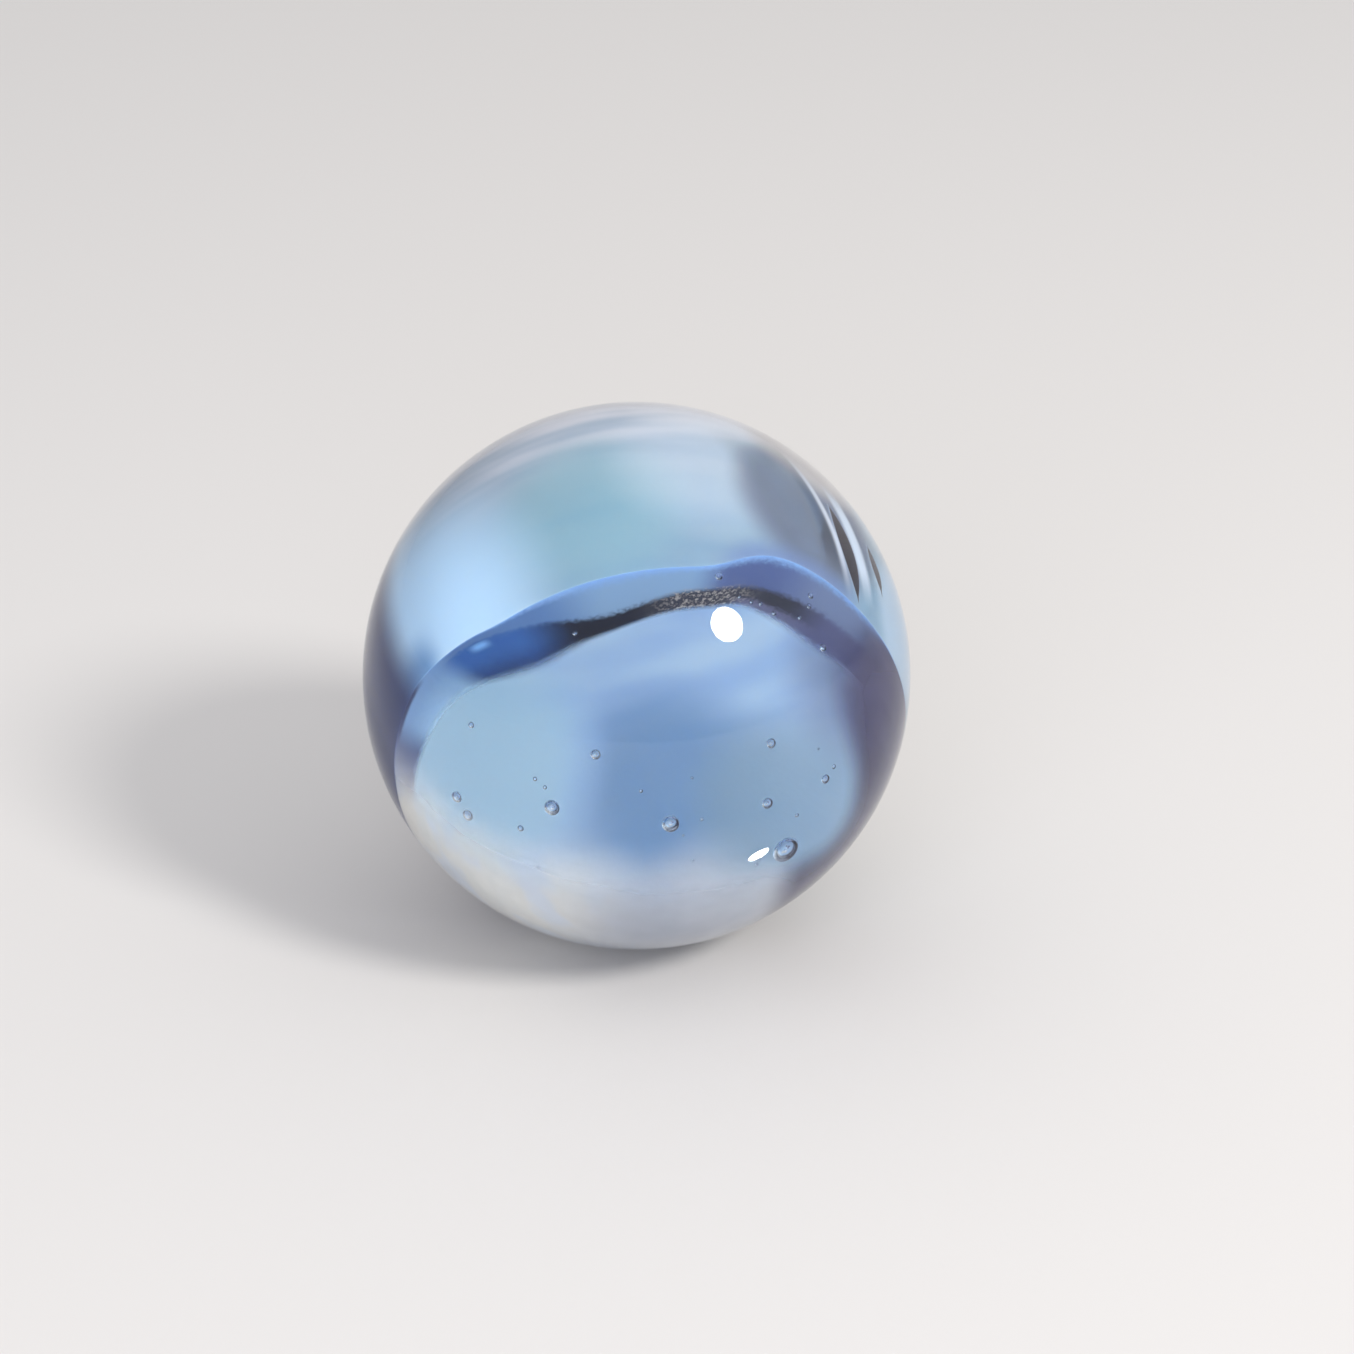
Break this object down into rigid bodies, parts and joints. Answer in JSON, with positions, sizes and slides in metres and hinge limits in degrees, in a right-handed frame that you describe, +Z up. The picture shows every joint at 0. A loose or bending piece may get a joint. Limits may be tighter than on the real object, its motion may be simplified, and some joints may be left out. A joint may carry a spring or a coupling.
{
  "type": "glass marble",
  "caption": "Round glass marble: clear glass under a milky blue layer that ends in a thick lip, with a clear window below it.",
  "frame": {"origin": "centre of the ball", "axes": "+Z up as it sits in the picture, -Z into the seat that holds it, -Y towards the clear window"},
  "size_m": [0.016, 0.016, 0.016],
  "materials": {
    "clear_glass": "clear, fire-polished glass with small air bubbles",
    "blue_layer": "milky light blue glass, streaked, darker and violet along its lip"
  },
  "bodies": {
    "root": {"clear_glass": "clear_glass", "blue_layer": "blue_layer"}
  },
  "joints": []
}
